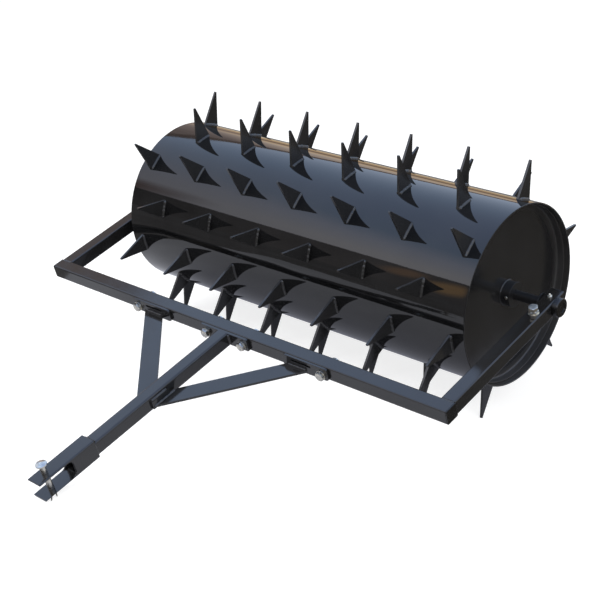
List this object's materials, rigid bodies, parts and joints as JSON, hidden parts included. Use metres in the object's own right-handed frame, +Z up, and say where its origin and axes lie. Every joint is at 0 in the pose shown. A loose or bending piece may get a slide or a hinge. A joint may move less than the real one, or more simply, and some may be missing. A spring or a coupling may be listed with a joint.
{
  "type": "tow behind aerator",
  "caption": "Tow behind lawn aerator: steel drum with welded triangular spikes on an axle, in a square-tube frame with braced tongue, clevis hitch, hitch pin and clip.",
  "frame": {"origin": "on the ground, below the middle of the whole tool's bounding box", "axes": "+X along the drum's axle, towards the end on the right when the tool is seen from the hitch; +Y backwards, away from the hitch; +Z up. The tool is parked: the drum stands on two rows of spikes and the tongue slopes down to the hitch pin"},
  "size_m": [1.1028, 1.0756, 0.4973],
  "materials": {
    "black_paint": "gloss black powder coat",
    "zinc_plate": "bright zinc plate",
    "black_plastic": "moulded black plastic",
    "bearing_nylon": "natural nylon"
  },
  "bodies": {
    "frame": {"front_bar": "black_paint", "side_arm_left": "black_paint", "side_arm_right": "black_paint", "bar_end_cap_left": "black_plastic", "bar_end_cap_right": "black_plastic", "arm_end_cap_left": "black_plastic", "arm_end_cap_right": "black_plastic", "bearing_block_left": "bearing_nylon", "bearing_block_right": "bearing_nylon", "set_bolts": "zinc_plate", "set_bolt_jam_nuts": "zinc_plate", "set_bolt_washers": "zinc_plate", "grease_fittings": "zinc_plate", "tongue_tube": "black_paint", "tongue_flange": "black_paint", "bar_bolts": "zinc_plate", "bar_bolt_washers": "zinc_plate", "bar_bolt_nuts": "zinc_plate", "brace_left": "black_paint", "brace_right": "black_paint", "clevis": "black_paint"},
    "drum": {"drum_shell": "black_paint", "drum_head_left": "black_paint", "drum_head_right": "black_paint", "hub_boss_left": "black_paint", "hub_boss_right": "black_paint", "hub_set_screws": "zinc_plate", "drum_axle": "black_paint", "axle_cap_left": "black_plastic", "axle_cap_right": "black_plastic", "thrust_washers": "black_paint", "spike_row_01": "black_paint", "spike_row_02": "black_paint", "spike_row_03": "black_paint", "spike_row_04": "black_paint", "spike_row_05": "black_paint", "spike_row_06": "black_paint", "spike_row_07": "black_paint", "spike_row_08": "black_paint", "spike_row_09": "black_paint", "spike_row_10": "black_paint", "spike_row_11": "black_paint", "spike_row_12": "black_paint"},
    "hitch_pin": {"hitch_pin": "zinc_plate"},
    "pin_clip": {"pin_clip": "zinc_plate"}
  },
  "joints": [
    {"name": "drum_spin", "type": "hinge", "parent": "frame", "child": "drum", "pos_m": [0, 0.28914, 0.24863], "axis": [1, 0, 0], "continuous": true},
    {"name": "hitch_pin_drop", "type": "slide", "parent": "frame", "child": "hitch_pin", "axis": [0, 0.2684, -0.9633], "range_m": [0, 0.019]},
    {"name": "pin_clip_pull", "type": "slide", "parent": "hitch_pin", "child": "pin_clip", "axis": [-0.7431, 0.6446, 0.1796], "range_m": [0, 0.04]}
  ]
}
